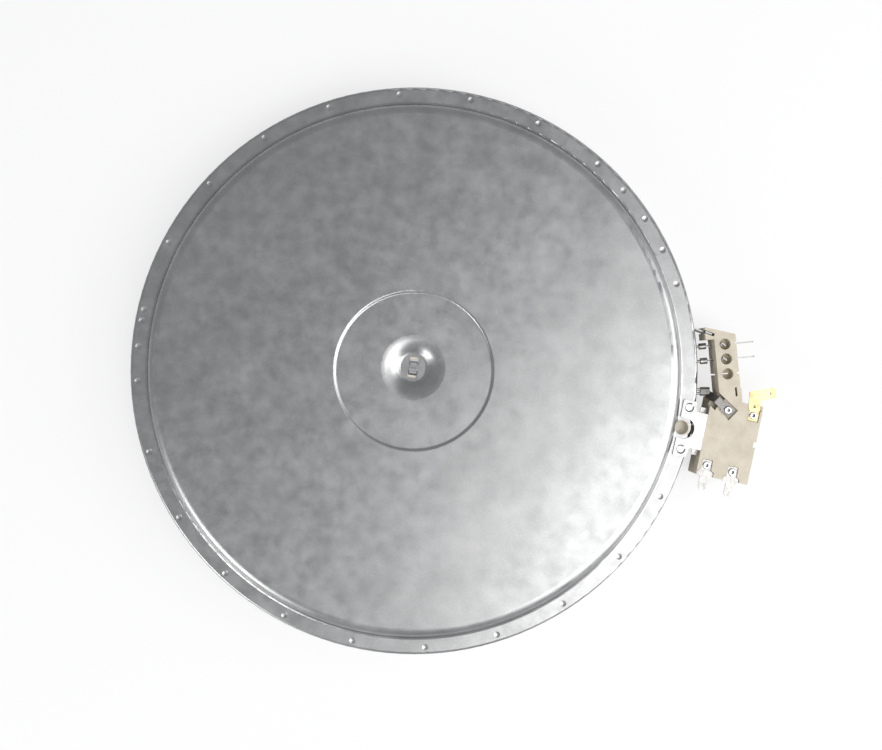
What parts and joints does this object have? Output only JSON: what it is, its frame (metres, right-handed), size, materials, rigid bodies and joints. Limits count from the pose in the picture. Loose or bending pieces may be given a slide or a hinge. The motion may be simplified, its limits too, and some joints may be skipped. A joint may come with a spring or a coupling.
{
  "type": "radiant stove surface element",
  "caption": "Round radiant heater for a glass cooktop, shown from its sheet-metal underside, with a rod-type temperature limiter, its ceramic terminal block and blade terminals on one side.",
  "frame": {"origin": "on the pan's axis, in the plane where the fibre ring meets the glass", "axes": "+Z out of the pan's underside, away from the glass; +X to the side with the terminals, as in the picture; the element lies glass side down"},
  "size_m": [0.3819, 0.3344, 0.03],
  "materials": {
    "pan_sheet": "hot-dip coated sheet, satin, with fine scratches",
    "bracket_zinc": "zinc-plated sheet, satin",
    "rivet_steel": "bright steel",
    "clip_steel": "bright steel strip",
    "steatite": "unglazed pressed ceramic, matte",
    "tab_nickel": "nickel-plated, satin",
    "strap_dark": "dark heat-tinted steel",
    "brass": "satin brass",
    "lead_wire": "drawn heat-resisting wire",
    "base_fibre": "pressed microporous insulation, matte",
    "ring_fibre": "pressed ceramic fibre, matte",
    "ribbon": "oxidised heating alloy",
    "quartz": "white ceramic tube",
    "rod_alloy": "heat-resisting alloy rod",
    "cover_mica": "insulating board",
    "spring_bronze": "spring bronze",
    "silver": "silver contact metal"
  },
  "bodies": {
    "root": {"pan": "pan_sheet", "centre_clip": "clip_steel", "limiter_bracket": "bracket_zinc", "bracket_rivets": "rivet_steel", "limiter_housing": "steatite", "housing_cover": "cover_mica", "outer_tab": "tab_nickel", "inner_tab": "tab_nickel", "link_strap": "strap_dark", "power_tab": "brass", "signal_tab_left": "tab_nickel", "signal_tab_right": "tab_nickel", "terminal_rivets": "rivet_steel", "outer_feed_lead": "lead_wire", "inner_feed_lead": "lead_wire", "outer_return_lead": "lead_wire", "inner_return_lead": "lead_wire", "base_insulation": "base_fibre", "outer_ring": "ring_fibre", "partition_ring": "ring_fibre", "inner_ribbon": "ribbon", "outer_ribbon": "ribbon", "limiter_tube": "quartz", "limiter_rod": "rod_alloy", "rod_nut": "rod_alloy", "power_spring": "spring_bronze", "power_contact": "brass", "signal_spring": "spring_bronze", "signal_contact": "spring_bronze", "contact_tips": "silver", "actuator_pin": "steatite", "calibrating_screw": "rivet_steel"}
  },
  "joints": []
}
